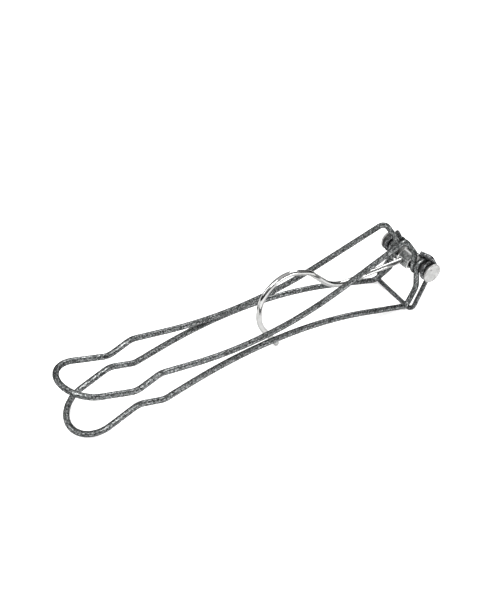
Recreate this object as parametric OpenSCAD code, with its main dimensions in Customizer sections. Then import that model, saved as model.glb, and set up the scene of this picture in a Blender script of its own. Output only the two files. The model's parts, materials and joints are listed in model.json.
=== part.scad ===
// Wire test tube holder.
// Two U-shaped wire frames turn on one riveted pin and hold a tube crosswise between their jaws.
// A double torsion spring keeps the jaws closed, and a wire finger hook swings on the same pin.
// Millimetres. +X runs from the jaws to the pin, +Y along the pin, +Z up from the resting surface.

/* [Overall] */
// Height of the pin's axis above the resting surface
pin_height = 20.48; // [20.48:0.02:21]
// Distance from the pin's axis back to the middle of the overall length
pin_to_middle = 81.1; // [80:0.1:82]

/* [Frame wires] */
// Diameter of the wire that both frames are bent from
frame_wire = 2.5; // [2.2:0.1:2.5]
// Half width of the upper jaw, between wire centres
upper_jaw_half = 11.4; // [11:0.1:12]
// Half width of the lower jaw, between wire centres
lower_jaw_half = 12; // [11.5:0.1:12.5]
// Radius of the gentle bend at the upper frame's waist
upper_waist_bend = 160; // [140:5:165]
// Radius of the gentle bend at the lower frame's waist
lower_waist_bend = 175; // [150:5:180]

/* [Pivot] */
// Diameter of the pin's shaft
pin_d = 4.8; // [4.6:0.1:4.8]
// Diameter of the pin's formed head
head_d = 8.8; // [8:0.1:9.4]
// Diameter of the riveted cap at the pin's other end
cap_d = 8.8; // [7:0.1:8.8]
// Thickness of the head
head_t = 1; // [0.8:0.1:1.2]
// Thickness of the riveted cap
cap_t = 1.8; // [1.6:0.1:1.8]
// Length of the pin between its head and its cap
grip_length = 27.9; // [27.9:0.1:28.5]
// How far the middle of that length sits from the middle of the jaws
pin_shift = -1.25; // [-1.25:0.05:-1.2]
// Free space all round the pin inside each wire eye
running_gap = 0.05; // [0.03:0.01:0.1]

/* [Torsion spring] */
// Diameter of the spring wire
spring_wire = 2; // [1.8:0.1:2]

/* [Finger hook] */
// Diameter of the hook wire
hook_wire = 2.4; // [2:0.1:2.4]
// Where the hook's wire lies along the pin
hook_y = -0.9; // [-1:0.1:0]
// Width of the hook's strap along the pin
strap_width = 6.6; // [6:0.1:6.8]
// Thickness of the strap's sheet
strap_t = 0.8; // [0.7:0.05:0.9]

/* [Hidden] */
$fn = 48;

// Each wire's corners lie on its centreline and are measured from the pin's axis as [x, z].
upper_tip = [-165.9, 4.8];
upper_valley = [-140.4, -3];
upper_peak = [-130.2, 1.1];
upper_waist = [-78.8, -6.7];
upper_corner = [-9, 15.3];
upper_elbow = [-3.5, 6.5];

lower_tip = [-163.5, -18.83];
lower_peak = [-140, -9.3];
lower_valley = [-129.2, -12.3];
lower_waist = [-74.7, 0.4];
lower_corner = [-7.5, -18.09];
lower_elbow = [-2.2, -10.1];

jaw_bend = 7;
upper_corner_bend = 4;
lower_corner_bend = 3;
elbow_bend = 5;

// Half widths between wire centres at the jaws, the waist and the corner.
upper_halves = [upper_jaw_half, 10.4, 7.9];
lower_halves = [lower_jaw_half, 11.9, 10.8];

// The upper frame's corner on the head's side is bent a little further from the pin and further in.
upper_corner_skew = [-1, 0.9];

// The eyes and coils sit side by side on the pin, the same way out from its middle each way.
eye_r = pin_d / 2 + running_gap + frame_wire / 2;
upper_eye_out = 6.05;
lower_eye_out = 8.6;
upper_eye_sweep = 262;
lower_eye_sweep = 275;

// The spring's coils sit between the lower eyes and the pin's head and cap.
coil_gap = 0.1;
coil_r = pin_d / 2 + coil_gap + spring_wire / 2;
coil_out = 10.9;
coil_pitch = spring_wire + 0.02;
bridge_bend = 2.6;
tail_bend = 2;
bridge = [-5.26, -19.48];
bridge_skew = 0.8;
bridge_half = 13.3;
coil_leave_angle = 20;
tail_knee = [1.1, 5.9];
tail_knee_out = 11.2;
tail_end = [-1.1, 6.3];
tail_end_out = 6.75;

// The hook: a headed end, an arm, a rise to the ring's shoulder, and a ring open at the bottom.
hook_start = [-3.5, -0.6];
hook_head_d = 3.4;
hook_head_t = 0.65;
hook_head_inset = 0.05;
hook_dip = [-41.5, -0.8];
hook_shoulder = [-55.1, 12.3];
hook_crown = [-78.3, 20.8];
hook_heel = [-79.2, -4.9];
hook_tip = [-69.7, -18.8];
hook_bends = [0, 19, 12.5, 13.5, 16, 0];
tip_sway = -0.6;

// The strap folds round the pin and squares off in front of it, with a hollow behind its front.
strap_y = -2;
strap_front = -5;
strap_top = 1.3;
strap_foot = -2.6;
strap_inner_top = 0.78;
strap_inner_foot = -1.87;
strap_leave_top = 118;
strap_leave_foot = -115;

// ---- vectors ----

function unit(v) = v / norm(v);
function angle_between(a, b) = acos(max(-1, min(1, unit(a) * unit(b))));
function at(p, y) = [p.x, y, p.y];
function back_to_front(list) = [for (i = [len(list) - 1 : -1 : 0]) list[i]];
function on_circle(r, a) = r * [cos(a), sin(a)];

// Angle on a circle about the origin where a line from p touches it. side is 1 or -1.
function touch_angle(p, r, side) = atan2(p.y, p.x) + side * acos(r / norm(p));

// Distance from corner i back to where its bend starts.
function setback(pts, bends, i) =
    i == 0 || i == len(pts) - 1 ? 0
    : bends[i] * tan(angle_between(pts[i] - pts[i - 1], pts[i + 1] - pts[i]) / 2);

// ---- exact wire pieces ----

// Two pieces of wire meet inside a band that is a hair wider than the wire.
band_extra = 0.02;
band_length = 0.2;
band_gap = 0.03;

module along(a, v) {
    translate(a)
        rotate([0, acos(v.z / norm(v)), atan2(v.y, v.x)])
            children();
}

module band(p, v, d) {
    along(p, v)
        cylinder(h = band_length, d = d + band_extra, center = true);
}

// A straight piece from a to b that stops short of each end where a band closes the gap.
module rod(a, b, d, gap_a, gap_b) {
    v = unit(b - a);
    along(a + v * gap_a, v)
        cylinder(h = norm(b - a) - gap_a - gap_b, d = d);
}

// A piece of ring about centre c, from direction x turning towards direction y.
module ring_piece(c, x, y, r, sweep, d) {
    z = cross(x, y);
    multmatrix([[x.x, y.x, z.x, c.x], [x.y, y.y, z.y, c.y], [x.z, y.z, z.z, c.z], [0, 0, 0, 1]])
        rotate_extrude(angle = sweep, $fn = max(96, round(2 * r)))
            translate([r, 0])
                circle(d = d, $fn = 40);
}

// A bent wire through the corners pts, with a round bend of radius bends[i] at each inner corner.
// gap_ends is band_gap at an end that joins another piece and 0 at a cut end.
module bent_wire(pts, bends, d, gap_ends = [0, 0]) {
    last = len(pts) - 1;
    for (i = [0 : last - 1]) {
        v = unit(pts[i + 1] - pts[i]);
        rod(pts[i] + v * setback(pts, bends, i), pts[i + 1] - v * setback(pts, bends, i + 1), d,
            i == 0 ? gap_ends[0] : band_gap, i == last - 1 ? gap_ends[1] : band_gap);
    }
    for (i = [1 : last - 1]) {
        into = unit(pts[i] - pts[i - 1]);
        out = unit(pts[i + 1] - pts[i]);
        side = unit(out - into * (into * out));
        start = pts[i] - into * setback(pts, bends, i);
        ring_piece(start + side * bends[i], -side, into, bends[i], angle_between(into, out), d);
        band(start, into, d);
        band(pts[i] + out * setback(pts, bends, i), out, d);
    }
}

// ---- swept wire for the spring, whose coils are helices ----

// Points along the same kind of bent wire, with a point every step degrees in each bend.
function bend_points(pts, bends, i, step) =
    let (into = unit(pts[i] - pts[i - 1]),
         out = unit(pts[i + 1] - pts[i]),
         side = unit(out - into * (into * out)),
         start = pts[i] - into * setback(pts, bends, i),
         turn = angle_between(into, out),
         n = ceil(turn / step))
    [for (k = [0 : n]) start + side * bends[i] * (1 - cos(turn * k / n)) + into * bends[i] * sin(turn * k / n)];

function wire_points(pts, bends, step) =
    [pts[0], for (i = [1 : len(pts) - 2]) each bend_points(pts, bends, i, step), pts[len(pts) - 1]];

function tangent(p, i) = unit(p[min(i + 1, len(p) - 1)] - p[max(i - 1, 0)]);

// One side direction per point, carried along the wire without twist.
function side_directions(p) =
    [for (i = 0, n = unit(cross(tangent(p, 0), [0.3, 0.5, 0.8]));
          i < len(p);
          i = i + 1, n = i < len(p) ? unit(n - tangent(p, i) * (n * tangent(p, i))) : n) n];

module swept_wire(p, d, sides) {
    n = side_directions(p);
    last = len(p) - 1;
    rings = [for (i = [0 : last], k = [0 : sides - 1])
        p[i] + d / 2 * (n[i] * cos(360 * k / sides) + cross(tangent(p, i), n[i]) * sin(360 * k / sides))];
    walls = [for (i = [0 : last - 1], k = [0 : sides - 1])
        [i * sides + k, (i + 1) * sides + k,
         (i + 1) * sides + (k + 1) % sides, i * sides + (k + 1) % sides]];
    caps = [[for (k = [0 : sides - 1]) k],
            [for (k = [sides - 1 : -1 : 0]) last * sides + k]];
    polyhedron(rings, concat(walls, caps), convexity = 8);
}

// ---- parts ----

module about_pin() {
    translate([pin_to_middle, 0, pin_height])
        children();
}

// Corners of one leg, from its eye to the start of the round nose. over is 1 if the wire passes
// over the pin and -1 if it passes under it. skew moves the corner on the head's side.
function leg(corners, halves, side, eye_out, over, skew) =
    let (eye_y = pin_shift + side * eye_out,
         corner = at(corners[4], side * halves[2]) + (side < 0 ? [skew.x, skew.y, 0] : [0, 0, 0]),
         touch = touch_angle(corners[5], eye_r, -over),
         nose = corners[0] - halves[0] * unit(corners[0] - corners[1]))
    [at(on_circle(eye_r, touch), eye_y), at(corners[5], eye_y), corner,
     at(corners[3], side * halves[1]), at(corners[2], side * halves[0]),
     at(corners[1], side * halves[0]), at(nose, side * halves[0])];

module jaw_frame(corners, halves, waist_bend, corner_bend, eye_out, over, eye_sweep, skew = [0, 0]) {
    touch = touch_angle(corners[5], eye_r, -over);
    for (side = [-1, 1]) {
        pts = leg(corners, halves, side, eye_out, over, skew);
        bent_wire(pts, [0, elbow_bend, corner_bend, waist_bend, jaw_bend, jaw_bend, 0],
                  frame_wire, [band_gap, band_gap]);
        band(pts[0], pts[1] - pts[0], frame_wire);
        band(pts[6], pts[6] - pts[5], frame_wire);
        ring_piece([0, pts[0].y, 0], at(on_circle(1, touch), 0), over * at(on_circle(1, touch - 90), 0),
                   eye_r, eye_sweep, frame_wire);
    }
    forward = unit(corners[0] - corners[1]);
    ring_piece(at(corners[0] - halves[0] * forward, 0), [0, 1, 0], at(forward, 0), halves[0], 180, frame_wire);
}

module lower_jaw_frame() {
    color("dimgray")
        about_pin()
            jaw_frame([lower_tip, lower_peak, lower_valley, lower_waist, lower_corner, lower_elbow],
                      lower_halves, lower_waist_bend, lower_corner_bend, lower_eye_out, 1, lower_eye_sweep);
}

module upper_jaw_frame() {
    color("dimgray")
        about_pin()
            jaw_frame([upper_tip, upper_valley, upper_peak, upper_waist, upper_corner, upper_elbow],
                      upper_halves, upper_waist_bend, upper_corner_bend, upper_eye_out, -1, upper_eye_sweep,
                      upper_corner_skew);
}

// Half of the spring, from the middle of its bridge up to the cut end of its tail.
function half_spring(side) =
    let (end = bridge + [side * bridge_skew, 0],
         touch = touch_angle(end, coil_r, 1),
         sweep = 360 + coil_leave_angle - touch + 360 * floor((touch + 180) / 360),
         arm = wire_points([at(bridge, -pin_shift), at(end, side * bridge_half - pin_shift),
                            at(on_circle(coil_r, touch), side * coil_out)], [0, bridge_bend, 0], 15),
         coil = [for (a = [12 : 12 : sweep])
                 at(on_circle(coil_r, touch + a), side * (coil_out + coil_pitch * a / sweep))],
         tail = wire_points([at(on_circle(coil_r, coil_leave_angle), side * (coil_out + coil_pitch)),
                             at(tail_knee, side * tail_knee_out),
                             at(tail_end, side * tail_end_out)], [0, tail_bend, 0], 15))
    concat(arm, coil, [for (i = [1 : len(tail) - 1]) tail[i]]);

module torsion_spring() {
    far = half_spring(1);
    color("dimgray")
        about_pin()
            translate([0, pin_shift, 0])
                swept_wire(concat(back_to_front(half_spring(-1)), [for (i = [1 : len(far) - 1]) far[i]]),
                           spring_wire, 12);
}

// A disc or shaft on the pin's axis, between two distances from the middle of its grip.
module on_pin(from, to, d) {
    about_pin()
        translate([0, pin_shift + from, 0])
            rotate([-90, 0, 0])
                cylinder(h = to - from, d = d);
}

module pivot_pin() {
    color("silver") {
        on_pin(-grip_length / 2 - head_t, -grip_length / 2, head_d);
        on_pin(-grip_length / 2, grip_length / 2, pin_d);
    }
}

module pin_cap() {
    color("silver")
        on_pin(grip_length / 2, grip_length / 2 + cap_t, cap_d);
}

module finger_hook() {
    tip = at(hook_tip, hook_y + tip_sway);
    color("gainsboro")
        about_pin() {
            bent_wire(concat([for (p = [hook_start, hook_dip, hook_shoulder, hook_crown, hook_heel])
                              at(p, hook_y)], [tip]), hook_bends, hook_wire);
            along(at(hook_start, hook_y), at(hook_dip - hook_start, 0))
                translate([0, 0, hook_head_inset])
                    cylinder(h = hook_head_t, d = hook_head_d);
        }
}

// Side view of one face of the strap: round the pin, then out to a flat front.
module strap_outline(r, front, top, foot) {
    circle(r = r);
    polygon([on_circle(r, strap_leave_top), [front, top], [front, foot], on_circle(r, strap_leave_foot)]);
}

module hook_knuckle() {
    bore_r = pin_d / 2 + running_gap;
    color("lightgray")
        about_pin()
            translate([0, strap_y, 0])
                rotate([90, 0, 0])
                    linear_extrude(strap_width, center = true)
                        difference() {
                            strap_outline(bore_r + strap_t, strap_front, strap_top, strap_foot);
                            strap_outline(bore_r, strap_front + strap_t, strap_inner_top, strap_inner_foot);
                        }
}

lower_jaw_frame();
upper_jaw_frame();
torsion_spring();
pivot_pin();
pin_cap();
finger_hook();
hook_knuckle();
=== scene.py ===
import json
import math

import bmesh
import bpy
from mathutils import Matrix, Vector, noise


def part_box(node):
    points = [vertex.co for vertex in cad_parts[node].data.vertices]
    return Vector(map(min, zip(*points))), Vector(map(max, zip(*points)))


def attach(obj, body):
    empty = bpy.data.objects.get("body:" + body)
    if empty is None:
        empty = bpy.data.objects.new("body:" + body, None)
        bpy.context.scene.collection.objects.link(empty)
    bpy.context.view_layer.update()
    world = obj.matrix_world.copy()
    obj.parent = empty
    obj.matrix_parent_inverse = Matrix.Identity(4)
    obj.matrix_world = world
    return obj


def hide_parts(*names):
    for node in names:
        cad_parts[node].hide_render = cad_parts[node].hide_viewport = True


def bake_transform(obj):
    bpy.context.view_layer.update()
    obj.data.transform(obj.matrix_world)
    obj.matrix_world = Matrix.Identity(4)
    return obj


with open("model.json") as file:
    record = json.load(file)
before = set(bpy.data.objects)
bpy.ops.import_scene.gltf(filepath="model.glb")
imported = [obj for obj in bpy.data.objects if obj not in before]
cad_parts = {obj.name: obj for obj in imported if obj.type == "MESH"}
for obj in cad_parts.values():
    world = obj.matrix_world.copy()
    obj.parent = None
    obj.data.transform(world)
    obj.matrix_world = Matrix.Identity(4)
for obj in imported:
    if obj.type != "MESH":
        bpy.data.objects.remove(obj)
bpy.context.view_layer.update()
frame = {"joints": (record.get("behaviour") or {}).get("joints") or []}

MM = 0.001

# ---------------------------------------------------------------- places from the frame
joints = {j["name"]: j for j in frame["joints"]}
PIN = Vector(joints["jaw_hinge"]["pos_m"])
head_lo, head_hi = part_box("pivot_pin")
cap_lo, cap_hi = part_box("pin_cap")
strap_lo, strap_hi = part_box("hook_knuckle")
HEAD_T = 1.0
PIN_MIDDLE = (head_lo.y / MM + HEAD_T + cap_lo.y / MM) / 2

# ---------------------------------------------------------------- the holder's own sizes, mm
# Corners of each wire's centreline, measured from the pin's axis as (x, z).
FRAME_WIRE = 2.5
SPRING_WIRE = 2.0
HOOK_WIRE = 2.4
PIN_D = 4.8
GAP = 0.05

UPPER = {
    "tip": (-165.9, 4.8), "mid": (-140.4, -3), "inner": (-130.2, 1.1), "waist": (-78.8, -6.7),
    "corner": (-9, 15.3), "elbow": (-3.5, 6.5),
    "halves": (11.4, 10.4, 7.9), "bends": (5, 4, 160, 7, 7), "eye_out": 6.05, "over": -1, "sweep": 262,
    "near_corner": Vector((-1, 0.9, 0)),
}
LOWER = {
    "tip": (-163.5, -18.83), "mid": (-140, -9.3), "inner": (-129.2, -12.3), "waist": (-74.7, 0.4),
    "corner": (-7.5, -18.09), "elbow": (-2.2, -10.1),
    "halves": (12, 11.9, 10.8), "bends": (5, 3, 175, 7, 7), "eye_out": 8.6, "over": 1, "sweep": 275,
    "near_corner": Vector((0, 0, 0)),
}
EYE_R = PIN_D / 2 + GAP + FRAME_WIRE / 2

COIL_R = PIN_D / 2 + 0.1 + SPRING_WIRE / 2
COIL_OUT = 10.9
COIL_PITCH = 2.02
BRIDGE, BRIDGE_SKEW, BRIDGE_HALF = (-5.26, -19.48), 0.8, 13.3
COIL_LEAVE = 20
KNEE, KNEE_OUT = (1.1, 5.9), 11.2
TAIL, TAIL_OUT = (-1.1, 6.3), 6.75

HOOK_Y = -0.9
HOOK = [(-3.5, -0.6), (-41.5, -0.8), (-55.1, 12.3), (-78.3, 20.8), (-79.2, -4.9), (-69.7, -18.8)]
HOOK_BENDS = [0, 19, 12.5, 13.5, 16, 0]
TIP_SWAY = -0.6
HOOK_HEAD_D, HOOK_HEAD_T, HOOK_HEAD_INSET = 3.4, 0.65, 0.05

STRAP_Y = (strap_lo.y + strap_hi.y) / 2 / MM
STRAP_WIDTH = (strap_hi.y - strap_lo.y) / MM
STRAP_T = 0.8
STRAP_FRONT, STRAP_TOP, STRAP_FOOT = -5.0, 1.3, -2.6
# Where the strap gets painted light: a painted highlight line along the fold at this angle about the
# pin, and lighter side edges that are partly wear and partly painted highlight. The widths below are in
# mm.
FOLD_ANGLE = 116
FOLD_R = 0.55
EDGE_WEAR_AND_HIGHLIGHT, FOLD_HIGHLIGHT = 0.5, 0.55
DEGREES_PER_RADIAN = 57.3


# ---------------------------------------------------------------- paths
def at(p, y):
    return Vector((p[0], y, p[1]))


def on_circle(r, degrees):
    a = math.radians(degrees)
    return (r * math.cos(a), r * math.sin(a))


def touch_angle(p, r, side):
    """Angle on a circle about the pin where a line from p touches it."""
    return math.degrees(math.atan2(p[1], p[0])) + side * math.degrees(math.acos(r / math.hypot(*p)))


def arc(centre, x, y, r, start, stop, step):
    """Points on a circle about centre, from the direction x turning towards y."""
    n = max(2, math.ceil(abs(stop - start) / step))
    out = []
    for k in range(n + 1):
        a = math.radians(start + (stop - start) * k / n)
        out.append(centre + r * (x * math.cos(a) + y * math.sin(a)))
    return out


def bent(points, bends, bend_step=5, straight_step=1.5):
    """A line through the points with a round bend at each inner corner."""
    out = [points[0]]
    for i in range(1, len(points) - 1):
        into = (points[i] - points[i - 1]).normalized()
        away = (points[i + 1] - points[i]).normalized()
        turn = into.angle(away)
        side = (away - into * into.dot(away)).normalized()
        start = points[i] - into * bends[i] * math.tan(turn / 2)
        n = max(4, math.ceil(max(math.degrees(turn) / bend_step, turn * bends[i] / straight_step)))
        for k in range(n + 1):
            a = turn * k / n
            out.append(start + side * bends[i] * (1 - math.cos(a)) + into * bends[i] * math.sin(a))
    out.append(points[-1])
    return spaced(out, straight_step)


def spaced(points, step):
    """The same line with no stretch longer than step."""
    out = [points[0]]
    for a, b in zip(points, points[1:]):
        n = max(1, math.ceil((b - a).length / step))
        out.extend(a.lerp(b, k / n) for k in range(1, n + 1))
    return out


def joined(*lines):
    """Lines end to end, with doubled points dropped."""
    out = []
    for line in lines:
        for p in line:
            if not out or (p - out[-1]).length > 1e-4:
                out.append(p)
    return out


# ---------------------------------------------------------------- wires
def wire(name, points, d, sides=28, chamfer=0.18, wobble=0.0, seed=0):
    """A round wire along the points, in mm from the pin. wire_co holds the place along and round it."""
    points = [Vector(p) for p in points]
    n = len(points)
    tangents = [(points[min(i + 1, n - 1)] - points[max(i - 1, 0)]).normalized() for i in range(n)]
    rings = []
    r = d / 2
    side = tangents[0].cross(Vector((0.3, 0.5, 0.8))).normalized()
    travelled = 0.0
    total = sum((b - a).length for a, b in zip(points, points[1:]))
    for i, p in enumerate(points):
        t = tangents[i]
        side = (side - t * side.dot(t)).normalized()
        if i:
            travelled += (p - points[i - 1]).length
        rings.append((p, t, side.copy(), r, travelled))
    # Cut ends: the first and last rings step in over a small chamfer.
    first, last = rings[0], rings[-1]
    start = [(first[0], first[1], first[2], r - chamfer, 0.0),
             (first[0] + first[1] * chamfer * 0.35, first[1], first[2],
              r - chamfer * 0.3, chamfer * 0.35),
             (first[0] + first[1] * chamfer, first[1], first[2], r, chamfer)]
    stop = [(last[0] - last[1] * chamfer, last[1], last[2], r, total - chamfer),
            (last[0] - last[1] * chamfer * 0.35, last[1], last[2],
             r - chamfer * 0.3, total - chamfer * 0.35),
            (last[0], last[1], last[2], r - chamfer, total)]
    body = [g for g in rings[1:-1] if chamfer * 1.5 < g[4] < total - chamfer * 1.5]
    rings = start + body + stop

    mesh = bpy.data.meshes.new(name)
    bm = bmesh.new()
    layer = bm.verts.layers.float_vector.new("wire_co")
    grid = []
    for p, t, s, radius, along in rings:
        up = t.cross(s)
        row = []
        for k in range(sides):
            a = 2 * math.pi * k / sides
            out = s * math.cos(a) + up * math.sin(a)
            here = p + out * radius
            if wobble:
                uneven = noise.noise(Vector((here.x, here.y, here.z)) * 0.55 + Vector((seed, 0, 0)))
                here -= out * wobble * (0.5 + 0.5 * uneven)
            v = bm.verts.new(PIN + here * MM)
            v[layer] = Vector((along, radius * math.cos(a), radius * math.sin(a)))
            row.append(v)
        grid.append(row)
    for a, b in zip(grid, grid[1:]):
        for k in range(sides):
            bm.faces.new((a[k], a[(k + 1) % sides], b[(k + 1) % sides], b[k]))
    for row, way in ((grid[0], -1), (grid[-1], 1)):
        p = sum((v.co for v in row), Vector()) / sides
        centre = bm.verts.new(p)
        centre[layer] = Vector((row[0][layer].x, 0, 0))
        for k in range(sides):
            ends = (row[k], row[(k + 1) % sides], centre)
            bm.faces.new(ends if way > 0 else ends[::-1])
    bmesh.ops.recalc_face_normals(bm, faces=bm.faces)
    for f in bm.faces:
        f.smooth = True
    bm.to_mesh(mesh)
    bm.free()
    obj = bpy.data.objects.new(name, mesh)
    bpy.context.scene.collection.objects.link(obj)
    sharpen(obj, 32)
    return obj


def sharpen(obj, degrees):
    """Smooth shading that keeps edges sharper than degrees crisp."""
    mesh = obj.data
    bm = bmesh.new()
    bm.from_mesh(mesh)
    limit = math.radians(degrees)
    for e in bm.edges:
        e.smooth = len(e.link_faces) != 2 or e.calc_face_angle(0) < limit
    bm.to_mesh(mesh)
    bm.free()


def jaw_frame_path(f):
    """One frame wire, from the near eye's cut end round the nose to the far eye's cut end."""
    over = f["over"]
    touch = touch_angle(f["elbow"], EYE_R, -over)
    x, z = at(on_circle(1, touch), 0), over * at(on_circle(1, touch - 90), 0)
    tip, mid = Vector(f["tip"]), Vector(f["mid"])
    forward = (tip - mid).normalized()
    nose = tip - f["halves"][0] * forward
    elbow_bend, corner_bend, waist_bend, inner_bend, mid_bend = f["bends"]
    legs = []
    for side in (-1, 1):
        eye_y = PIN_MIDDLE + side * f["eye_out"]
        jaw, waist, corner = (side * h for h in f["halves"])
        corner_point = at(f["corner"], corner) + (f["near_corner"] if side < 0 else Vector())
        points = [at(on_circle(EYE_R, touch), eye_y), at(f["elbow"], eye_y), corner_point,
                  at(f["waist"], waist), at(f["inner"], jaw), at(f["mid"], jaw), at(nose, jaw)]
        leg = bent(points, [0, elbow_bend, corner_bend, waist_bend, inner_bend, mid_bend, 0])
        eye = arc(Vector((0, eye_y, 0)), x, z, EYE_R, f["sweep"], 0, 7)
        legs.append(joined(eye, leg))
    bow = arc(at(nose, 0), Vector((0, 1, 0)), at(forward, 0), f["halves"][0], 180, 0, 5)
    return joined(legs[0], bow, legs[1][::-1])


def half_spring(side):
    """Half of the spring, from the middle of its bridge to the cut end of its tail."""
    end = (BRIDGE[0] + side * BRIDGE_SKEW, BRIDGE[1])
    touch = touch_angle(end, COIL_R, 1)
    sweep = 360 + COIL_LEAVE - touch + 360 * math.floor((touch + 180) / 360)
    arm = bent([at(BRIDGE, -PIN_MIDDLE), at(end, side * BRIDGE_HALF - PIN_MIDDLE),
                at(on_circle(COIL_R, touch), side * COIL_OUT)], [0, 2.6, 0], bend_step=8)
    steps = math.ceil(sweep / 8)
    coil = [at(on_circle(COIL_R, touch + sweep * k / steps), side * (COIL_OUT + COIL_PITCH * k / steps))
            for k in range(steps + 1)]
    tail = bent([at(on_circle(COIL_R, COIL_LEAVE), side * (COIL_OUT + COIL_PITCH)),
                 at(KNEE, side * KNEE_OUT), at(TAIL, side * TAIL_OUT)], [0, 2, 0],
                bend_step=8, straight_step=0.8)
    return joined(arm, coil, tail)


# ---------------------------------------------------------------- turned and folded pieces
def lathe(name, profile, side_y, way, sides=96, dents=()):
    """A round piece on the pin's axis. profile is (radius, distance from side_y) pairs, from the
    outermost face. dents are (x, z, size, depth) hollows in that face."""
    mesh = bpy.data.meshes.new(name)
    bm = bmesh.new()
    layer = bm.verts.layers.float_vector.new("wire_co")
    rows = []
    for r, depth in profile:
        row = []
        count = sides if r > 1e-6 else 1
        for k in range(count):
            a = 2 * math.pi * k / sides
            x, z = r * math.cos(a), r * math.sin(a)
            sunk = depth
            if depth < 0.2:
                sunk += sum(d * math.exp(-((x - u) ** 2 + (z - w) ** 2) / size ** 2)
                            for u, w, size, d in dents)
            v = bm.verts.new(PIN + Vector((x, side_y - way * sunk, z)) * MM)
            v[layer] = Vector((depth, x, z))
            row.append(v)
        rows.append(row)
    for a, b in zip(rows, rows[1:]):
        for k in range(sides):
            j = (k + 1) % sides
            if len(a) == 1:
                bm.faces.new((a[0], b[j], b[k]))
            elif len(b) == 1:
                bm.faces.new((a[k], a[j], b[0]))
            else:
                bm.faces.new((a[k], a[j], b[j], b[k]))
    bmesh.ops.recalc_face_normals(bm, faces=bm.faces)
    for f in bm.faces:
        f.smooth = True
    bm.to_mesh(mesh)
    bm.free()
    obj = bpy.data.objects.new(name, mesh)
    bpy.context.scene.collection.objects.link(obj)
    sharpen(obj, 40)
    return obj


def folded_strap(name):
    """The sheet folded round the pin, with a hole in its front for the hook's wire."""
    bore = PIN_D / 2 + GAP
    mid_r = bore + STRAP_T / 2
    front = STRAP_FRONT + STRAP_T / 2
    fold = (front, STRAP_TOP - FOLD_R)
    heel = (front + STRAP_T / 2 + 0.04, STRAP_FOOT + 0.36)
    over = touch_angle(fold, mid_r, -1)
    under = touch_angle(heel, mid_r, 1)
    round_pin = [at(on_circle(mid_r, over + (under - over) * k / 60), 0) for k in range(61)]
    plate = bent([at((front, STRAP_FOOT), 0), at(fold, 0), round_pin[0]], [0, FOLD_R, 0],
                 bend_step=9, straight_step=0.5)
    line = joined(plate, round_pin, spaced([round_pin[-1], at(heel, 0)], 0.5))

    mesh = bpy.data.meshes.new(name)
    bm = bmesh.new()
    n = len(line)
    columns = []
    for i, p in enumerate(line):
        t = (line[min(i + 1, n - 1)] - line[max(i - 1, 0)]).normalized()
        out = Vector((-t.z, 0, t.x))
        columns.append((p + out * STRAP_T / 2, p - out * STRAP_T / 2))
    steps = 24
    grid = []
    for outer, inner in columns:
        row = []
        for face in (outer, inner):
            across = [STRAP_Y + STRAP_WIDTH * (k / steps - 0.5) for k in range(steps + 1)]
            row.append([bm.verts.new(PIN + (face + Vector((0, y, 0))) * MM) for y in across])
        grid.append(row)
    for (a0, a1), (b0, b1) in zip(grid, grid[1:]):
        for k in range(steps):
            bm.faces.new((a0[k], b0[k], b0[k + 1], a0[k + 1]))
            bm.faces.new((a1[k], a1[k + 1], b1[k + 1], b1[k]))
        bm.faces.new((a0[0], a1[0], b1[0], b0[0]))
        bm.faces.new((a0[-1], b0[-1], b1[-1], a1[-1]))
    for row in (grid[0], grid[-1]):
        for k in range(steps):
            bm.faces.new((row[0][k], row[0][k + 1], row[1][k + 1], row[1][k]))
    bmesh.ops.recalc_face_normals(bm, faces=bm.faces)
    bm.to_mesh(mesh)
    bm.free()
    strap = bpy.data.objects.new(name, mesh)
    bpy.context.scene.collection.objects.link(strap)

    cutter_mesh = bpy.data.meshes.new("wire_hole")
    bm = bmesh.new()
    arm = (at(HOOK[1], 0) - at(HOOK[0], 0)).normalized()
    turn = Vector((0, 0, 1)).rotation_difference(arm).to_matrix().to_4x4()
    spot = PIN + (at(HOOK[0], HOOK_Y) + arm * 1.6) * MM
    bmesh.ops.create_cone(bm, cap_ends=True, segments=48, radius1=(HOOK_WIRE / 2 + 0.16) * MM,
                          radius2=(HOOK_WIRE / 2 + 0.16) * MM, depth=2.4 * MM,
                          matrix=Matrix.Translation(spot) @ turn)
    bm.to_mesh(cutter_mesh)
    bm.free()
    cutter = bpy.data.objects.new("wire_hole", cutter_mesh)
    bpy.context.scene.collection.objects.link(cutter)
    cut = strap.modifiers.new("hole", "BOOLEAN")
    cut.object, cut.operation, cut.solver = cutter, "DIFFERENCE", "EXACT"
    bevel = strap.modifiers.new("edges", "BEVEL")
    bevel.width, bevel.segments = 0.11 * MM, 3
    bevel.limit_method, bevel.angle_limit = "ANGLE", math.radians(50)
    bpy.context.view_layer.update()
    final = bpy.data.meshes.new_from_object(strap.evaluated_get(bpy.context.evaluated_depsgraph_get()))
    strap.modifiers.clear()
    strap.data = final
    bpy.data.objects.remove(cutter)
    final.attributes.new("wire_co", "FLOAT_VECTOR", "POINT")
    # The strap's mask of painted light is 1 along its side edges (wear and painted highlight) and along
    # the outer face's fold line (painted highlight), and fades out over the widths above.
    final.attributes.new("wear_and_highlight", "FLOAT", "POINT")
    coordinates, wear_and_highlight = final.attributes["wire_co"], final.attributes["wear_and_highlight"]
    for i, v in enumerate(final.vertices):
        place = (v.co - PIN) / MM
        r, angle = math.hypot(place.x, place.z), math.degrees(math.atan2(place.z, place.x)) % 360
        to_side = STRAP_WIDTH / 2 - abs(place.y - STRAP_Y)
        outside = r > bore + STRAP_T * 0.6
        to_bend = abs(angle - FOLD_ANGLE) * r / DEGREES_PER_RADIAN if outside else 9
        coordinates.data[i].vector = (angle * bore / DEGREES_PER_RADIAN, place.y, r)
        wear_and_highlight.data[i].value = max(0.0, 1 - min(to_side / EDGE_WEAR_AND_HIGHLIGHT, to_bend / FOLD_HIGHLIGHT))
    for polygon in final.polygons:
        polygon.use_smooth = True
    sharpen(strap, 42)
    return strap


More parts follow.
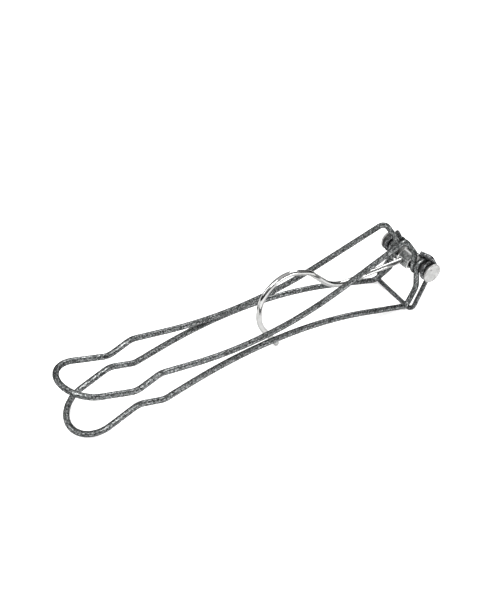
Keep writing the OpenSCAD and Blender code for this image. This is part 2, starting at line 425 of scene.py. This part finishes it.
# ---------------------------------------------------------------- camera
def make_camera():
    data = bpy.data.cameras.new("camera")
    cam = bpy.data.objects.new("camera", data)
    bpy.context.scene.collection.objects.link(cam)
    right = Vector((0.8350, -0.5492, 0.0327))
    up = Vector((0.3215, 0.5353, 0.7811))
    back = right.cross(up).normalized()
    up = back.cross(right).normalized()
    right = right.normalized()
    turn = Matrix((right, up, back)).transposed()
    cam.matrix_world = Matrix.Translation(Vector((-184.02, -261.6, 283.55)) * MM) @ turn.to_4x4()
    data.sensor_width = 36
    data.lens = 61.89
    data.clip_start, data.clip_end = 0.01, 20
    bpy.context.scene.camera = cam


make_camera()


# ---------------------------------------------------------------- materials
class Paint:
    """Short names for the nodes of one material."""

    def __init__(self, name):
        self.material = bpy.data.materials.new(name)
        self.material.use_nodes = True
        self.tree = self.material.node_tree
        self.tree.nodes.clear()
        self.shader = self.tree.nodes.new("ShaderNodeBsdfPrincipled")
        output = self.tree.nodes.new("ShaderNodeOutputMaterial")
        self.tree.links.new(self.shader.outputs[0], output.inputs["Surface"])
        self.place = self.tree.nodes.new("ShaderNodeAttribute")
        self.place.attribute_name = "wire_co"

    def link(self, value, socket):
        if isinstance(value, (int, float, tuple)):
            socket.default_value = value
        else:
            self.tree.links.new(value, socket)

    def stretched(self, along, around=1.0):
        """The wire's own coordinates, with lengths along and across the wire scaled apart."""
        node = self.tree.nodes.new("ShaderNodeMapping")
        node.inputs["Scale"].default_value = (along, around, around)
        self.link(self.place.outputs["Vector"], node.inputs["Vector"])
        return node.outputs[0]

    def noise(self, vector, scale, detail=4.0, rough=0.55, distortion=0.0):
        node = self.tree.nodes.new("ShaderNodeTexNoise")
        node.inputs["Scale"].default_value = scale
        node.inputs["Detail"].default_value = detail
        node.inputs["Roughness"].default_value = rough
        node.inputs["Distortion"].default_value = distortion
        self.link(vector, node.inputs["Vector"])
        return node.outputs["Fac"]

    def spots(self, vector, scale):
        node = self.tree.nodes.new("ShaderNodeTexVoronoi")
        node.inputs["Scale"].default_value = scale
        self.link(vector, node.inputs["Vector"])
        return node.outputs["Distance"]

    def ramp(self, value, low, high, out_low=0.0, out_high=1.0):
        node = self.tree.nodes.new("ShaderNodeMapRange")
        limits = {"From Min": low, "From Max": high, "To Min": out_low, "To Max": out_high}
        for key, x in limits.items():
            node.inputs[key].default_value = x
        self.link(value, node.inputs["Value"])
        return node.outputs[0]

    def mix(self, factor, a, b):
        node = self.tree.nodes.new("ShaderNodeMix")
        node.data_type = "RGBA"
        self.link(factor, node.inputs[0])
        self.link(a, node.inputs[6])
        self.link(b, node.inputs[7])
        return node.outputs[2]

    def math(self, operation, a, b=0.0):
        node = self.tree.nodes.new("ShaderNodeMath")
        node.operation = operation
        self.link(a, node.inputs[0])
        self.link(b, node.inputs[1])
        return node.outputs[0]

    def bump(self, height, strength, distance):
        node = self.tree.nodes.new("ShaderNodeBump")
        node.inputs["Strength"].default_value = strength
        node.inputs["Distance"].default_value = distance
        self.link(height, node.inputs["Height"])
        self.link(node.outputs[0], self.shader.inputs["Normal"])


def grey_wire(name, dark, mid, light, speckle):
    """Old grey steel wire: dark oxide, lighter patches of wear, speckle and lengthwise drawing lines.
    """
    p = Paint(name)
    cloud = p.noise(p.stretched(0.5), 0.35, 4, 0.6)
    patch = p.noise(p.stretched(0.8), 0.95, 3, 0.62, 0.4)
    grain = p.noise(p.stretched(0.8), 1.9, 3, 0.7)
    fine = p.noise(p.stretched(1.0), 4.2, 2, 0.6)
    drawn = p.noise(p.stretched(0.10), 2.6, 3, 0.6)
    colour = p.mix(p.ramp(patch, 0.42, 0.60), dark, mid)
    colour = p.mix(p.math("MULTIPLY", p.ramp(cloud, 0.45, 0.62), 0.35), colour, mid)
    colour = p.mix(p.math("MULTIPLY", p.ramp(drawn, 0.54, 0.66), 0.5), colour, light)
    colour = p.mix(p.math("MULTIPLY", p.ramp(grain, 0.53, 0.64), 0.95), colour, speckle)
    colour = p.mix(p.math("MULTIPLY", p.ramp(fine, 0.56, 0.68), 0.5), colour, speckle)
    colour = p.mix(p.math("MULTIPLY", p.ramp(grain, 0.45, 0.36), 0.85), colour, dark)
    p.link(colour, p.shader.inputs["Base Color"])
    p.shader.inputs["Metallic"].default_value = 0.9
    p.shader.inputs["Specular Tint"].default_value = (0.12, 0.12, 0.12, 1)
    p.shader.inputs["Specular IOR Level"].default_value = 0.25
    p.link(p.ramp(patch, 0.35, 0.65, 0.42, 0.27), p.shader.inputs["Roughness"])
    height = p.math("ADD", p.math("MULTIPLY", patch, 0.8), p.math("MULTIPLY", grain, 0.5))
    height = p.math("ADD", height, p.math("MULTIPLY", drawn, 0.3))
    p.bump(height, 0.7, 0.0002)
    return p.material


def bright_wire(name, colour, stain, rough):
    """Bright plated metal with fine drawing lines, faint clouding and a few pits."""
    p = Paint(name)
    cloud = p.noise(p.stretched(0.5), 0.7, 4, 0.6)
    drawn = p.noise(p.stretched(0.06), 5.0, 3, 0.5)
    pit = p.spots(p.stretched(1.0), 1.6)
    tone = p.mix(p.math("MULTIPLY", p.ramp(cloud, 0.5, 0.75), 0.6), colour, stain)
    tone = p.mix(p.math("MULTIPLY", p.ramp(pit, 0.13, 0.05), 0.55), tone, (0.16, 0.155, 0.15, 1))
    p.link(tone, p.shader.inputs["Base Color"])
    p.shader.inputs["Metallic"].default_value = 1.0
    p.shader.inputs["Specular Tint"].default_value = (0.45, 0.45, 0.45, 1)
    p.link(p.ramp(cloud, 0.35, 0.75, rough, rough + 0.14), p.shader.inputs["Roughness"])
    height = p.math("ADD", p.math("MULTIPLY", drawn, 0.4),
                    p.math("MULTIPLY", p.ramp(pit, 0.0, 0.14), 0.6))
    p.bump(height, 0.18, 0.00006)
    return p.material


def folded_sheet(name, colour, streak, wear_and_highlight_colour):
    """Plated sheet with dark brushed streaks along its fold. It is painted near-white along its side
    edges, as wear and as painted highlight, and along the fold line as a painted highlight.
    """
    p = Paint(name)
    streaks = p.noise(p.stretched(0.35, 1.0), 1.5, 4, 0.65)
    fine = p.noise(p.stretched(0.15, 1.0), 5.0, 3, 0.6)
    tone = p.mix(p.ramp(streaks, 0.38, 0.60), streak, colour)
    tone = p.mix(p.math("MULTIPLY", p.ramp(fine, 0.52, 0.68), 0.5), tone, streak)
    # Painted highlight: the mask turns the fold line and the side edges near-white, and on the side
    # edges it also stands for wear.
    edge = p.tree.nodes.new("ShaderNodeAttribute")
    edge.attribute_name = "wear_and_highlight"
    tone = p.mix(edge.outputs["Fac"], tone, wear_and_highlight_colour)
    p.link(tone, p.shader.inputs["Base Color"])
    p.shader.inputs["Metallic"].default_value = 1.0
    p.shader.inputs["Specular Tint"].default_value = (0.45, 0.45, 0.45, 1)
    p.link(p.ramp(streaks, 0.35, 0.65, 0.34, 0.2), p.shader.inputs["Roughness"])
    height = p.math("ADD", p.math("MULTIPLY", streaks, 0.6), p.math("MULTIPLY", fine, 0.4))
    p.bump(height, 0.35, 0.00008)
    return p.material


def satin_metal(name, colour, stain, rough):
    """Matte plated metal, clouded and finely pitted, for the pin's head and cap."""
    p = Paint(name)
    cloud = p.noise(p.stretched(1.0), 0.45, 5, 0.6, 0.6)
    grain = p.noise(p.stretched(1.0), 4.5, 3, 0.7)
    tone = p.mix(p.ramp(cloud, 0.40, 0.68), colour, stain)
    tone = p.mix(p.math("MULTIPLY", p.ramp(grain, 0.62, 0.75), 0.5), tone, (0.30, 0.30, 0.30, 1))
    p.link(tone, p.shader.inputs["Base Color"])
    p.shader.inputs["Metallic"].default_value = 0.85
    p.link(p.ramp(grain, 0.3, 0.7, rough + 0.08, rough - 0.06), p.shader.inputs["Roughness"])
    p.bump(p.math("ADD", p.math("MULTIPLY", cloud, 0.6), p.math("MULTIPLY", grain, 0.5)), 0.3, 0.00008)
    return p.material


FRAME_STEEL = grey_wire("frame_steel", dark=(0.020, 0.022, 0.022, 1), mid=(0.082, 0.087, 0.087, 1),
                        light=(0.19, 0.20, 0.20, 1), speckle=(0.40, 0.41, 0.41, 1))
SPRING_STEEL = grey_wire("spring_steel", dark=(0.014, 0.015, 0.016, 1), mid=(0.065, 0.068, 0.07, 1),
                         light=(0.17, 0.175, 0.18, 1), speckle=(0.36, 0.365, 0.37, 1))
HOOK_CHROME = bright_wire("hook_chrome", colour=(0.42, 0.42, 0.415, 1), stain=(0.28, 0.28, 0.275, 1),
                          rough=0.09)
# The near-white colour is a painted highlight on the strap's fold line and side edges, and also wear on
# the edges.
STRAP_NICKEL = folded_sheet("strap_nickel", colour=(0.40, 0.405, 0.40, 1),
                            streak=(0.09, 0.094, 0.094, 1), wear_and_highlight_colour=(0.92, 0.92, 0.91, 1))
PIN_NICKEL = satin_metal("pin_nickel", colour=(0.38, 0.38, 0.375, 1), stain=(0.25, 0.25, 0.245, 1),
                         rough=0.42)


# ---------------------------------------------------------------- the pieces
def piece(obj, material, body, node):
    obj.data.materials.clear()
    obj.data.materials.append(material)
    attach(obj, body)
    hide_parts(node)
    return obj


piece(wire("lower_jaw_wire", jaw_frame_path(LOWER), FRAME_WIRE, wobble=0.02, seed=3),
      FRAME_STEEL, "lower_frame", "lower_jaw_frame")
piece(wire("upper_jaw_wire", jaw_frame_path(UPPER), FRAME_WIRE, wobble=0.02, seed=11),
      FRAME_STEEL, "upper_frame", "upper_jaw_frame")

spring_path = joined(half_spring(-1)[::-1], half_spring(1))
spring_path = [p + Vector((0, PIN_MIDDLE, 0)) for p in spring_path]
spring = wire("double_torsion_spring", spring_path, SPRING_WIRE, sides=24, wobble=0.02, seed=23)
spring.data.materials.append(SPRING_STEEL)
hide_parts("torsion_spring")
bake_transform(spring)

hook_points = [at(p, HOOK_Y) for p in HOOK[:-1]] + [at(HOOK[-1], HOOK_Y + TIP_SWAY)]
hook_line = bent(hook_points, HOOK_BENDS, bend_step=3, straight_step=1.0)
hook_line[0] = hook_line[0] + (hook_line[0] - hook_line[1]).normalized() * 0.1
piece(wire("finger_hook_wire", hook_line, HOOK_WIRE, sides=36, chamfer=0.35),
      HOOK_CHROME, "hook", "finger_hook")

# The wire's headed end, which holds it inside the strap.
arm = (hook_points[1] - hook_points[0]).normalized()
head_line = [hook_points[0] + arm * (HOOK_HEAD_INSET + HOOK_HEAD_T * k / 4) for k in range(5)]
piece(wire("hook_wire_head", head_line, HOOK_HEAD_D, sides=36, chamfer=0.12),
      HOOK_CHROME, "hook", "finger_hook")

piece(folded_strap("folded_strap"), STRAP_NICKEL, "hook", "hook_knuckle")

# The pin: a formed head with a rounded rim and a nick near its edge, and a plain shaft.
head_y, cap_y = (head_lo.y - PIN.y) / MM, (cap_hi.y - PIN.y) / MM
head_r = (head_hi.x - head_lo.x) / 2 / MM
cap_r = (cap_hi.x - cap_lo.x) / 2 / MM
cap_t = (cap_hi.y - cap_lo.y) / MM
shaft_end = cap_y - cap_t - head_y
flat_r = head_r - 0.55
face_rings = 44
hollow = 0.06
face = [(flat_r * k / face_rings, hollow * (1 - (k / face_rings) ** 2)) for k in range(face_rings)]
rim = [(flat_r, 0), (head_r - 0.28, 0.02), (head_r - 0.1, 0.12), (head_r, 0.32),
       (head_r, HEAD_T - 0.25), (head_r - 0.08, HEAD_T - 0.07), (head_r - 0.25, HEAD_T)]
shaft = [(PIN_D / 2 + 0.25, HEAD_T), (PIN_D / 2 + 0.05, HEAD_T + 0.06), (PIN_D / 2, HEAD_T + 0.25),
         (PIN_D / 2, shaft_end), (0, shaft_end)]
nick = [(-1.24, 2.43, 0.42, 0.45), (-0.78, 2.2, 0.3, 0.3)]
hammer_marks = [(1.4, -1.2, 0.9, 0.05), (-1.8, -1.0, 1.1, 0.06)]
piece(lathe("headed_pin", face + rim + shaft, head_y, -1, dents=nick + hammer_marks),
      PIN_NICKEL, "lower_frame", "pivot_pin")
dome_r, dome_t = cap_r * 0.86, 0.75
slopes = [math.radians(a) for a in range(0, 91, 10)]
dome = [(dome_r * math.sin(a), dome_t * (1 - math.cos(a))) for a in slopes]
cap_profile = dome + [(cap_r - 0.25, 0.82), (cap_r - 0.06, 0.93), (cap_r, 1.1), (cap_r, cap_t - 0.14),
                      (cap_r - 0.12, cap_t), (0, cap_t)]
piece(lathe("riveted_cap", cap_profile, cap_y, 1), PIN_NICKEL, "lower_frame", "pin_cap")


# ---------------------------------------------------------------- floor and light
def plane(name, size, location, turn=(0, 0, 0)):
    mesh = bpy.data.meshes.new(name)
    x, y = size[0] / 2, size[1] / 2
    mesh.from_pydata([(-x, -y, 0), (x, -y, 0), (x, y, 0), (-x, y, 0)], [], [(0, 1, 2, 3)])
    obj = bpy.data.objects.new(name, mesh)
    obj.location = location
    obj.rotation_euler = turn
    bpy.context.scene.collection.objects.link(obj)
    return obj


floor = plane("floor", (6, 6), (0, 0, 0))
floor_paint = bpy.data.materials.new("floor")
floor_paint.use_nodes = True
floor_shader = floor_paint.node_tree.nodes["Principled BSDF"]
floor_shader.inputs["Base Color"].default_value = (0.96, 0.96, 0.96, 1)
floor_shader.inputs["Roughness"].default_value = 0.9
floor_shader.inputs["Specular IOR Level"].default_value = 0.1
floor_shader.inputs["Emission Color"].default_value = (1, 1, 1, 1)
floor_shader.inputs["Emission Strength"].default_value = 0.25
floor.data.materials.append(floor_paint)


def softbox(name, location, target, size, power, size_y):
    data = bpy.data.lights.new(name, "AREA")
    data.energy, data.shape = power, "RECTANGLE"
    data.size, data.size_y = size, size_y
    light = bpy.data.objects.new(name, data)
    light.location = location
    light.rotation_mode = "QUATERNION"
    light.rotation_quaternion = (Vector(target) - Vector(location)).to_track_quat("-Z", "Y")
    bpy.context.scene.collection.objects.link(light)
    return light


softbox("key", (-0.5, -0.55, 1.1), (0, 0, 0), 0.6, 17, size_y=0.45)
softbox("fill", (-1.0, 0.6, 0.7), (0, 0, 0), 0.5, 5, size_y=0.7)
softbox("rim", (0.8, 0.35, 0.8), (0, 0, 0), 0.5, 7, size_y=0.35)
softbox("low_strip", (0.50, -1.1, 0.12), (0.02, 0, 0.02), 0.7, 4, size_y=0.12)

# The room: pale to the camera, and a darker band round the horizon for bright metal to reflect.
world = bpy.data.worlds.new("studio")
bpy.context.scene.world = world
world.use_nodes = True
tree = world.node_tree
background = tree.nodes["Background"]
direction = tree.nodes.new("ShaderNodeTexCoord")
split = tree.nodes.new("ShaderNodeSeparateXYZ")
band = tree.nodes.new("ShaderNodeValToRGB")
ray = tree.nodes.new("ShaderNodeLightPath")
seen = tree.nodes.new("ShaderNodeMix")
seen.data_type = "RGBA"
stops = band.color_ramp.elements
stops[0].position, stops[0].color = 0.0, (0.02, 0.02, 0.02, 1)
stops[1].position, stops[1].color = 1.0, (0.95, 0.95, 0.95, 1)
for position, level in ((0.22, 0.03), (0.36, 0.30), (0.62, 0.42), (0.72, 0.85)):
    stop = stops.new(position)
    stop.color = (level, level, level, 1)
tree.links.new(direction.outputs["Generated"], split.inputs[0])
tree.links.new(split.outputs["Z"], band.inputs[0])
tree.links.new(ray.outputs["Is Camera Ray"], seen.inputs[0])
tree.links.new(band.outputs["Color"], seen.inputs[6])
seen.inputs[7].default_value = (0.93, 0.93, 0.93, 1)
tree.links.new(seen.outputs[2], background.inputs["Color"])
background.inputs["Strength"].default_value = 1.0
bpy.context.scene.view_settings.view_transform = "Standard"
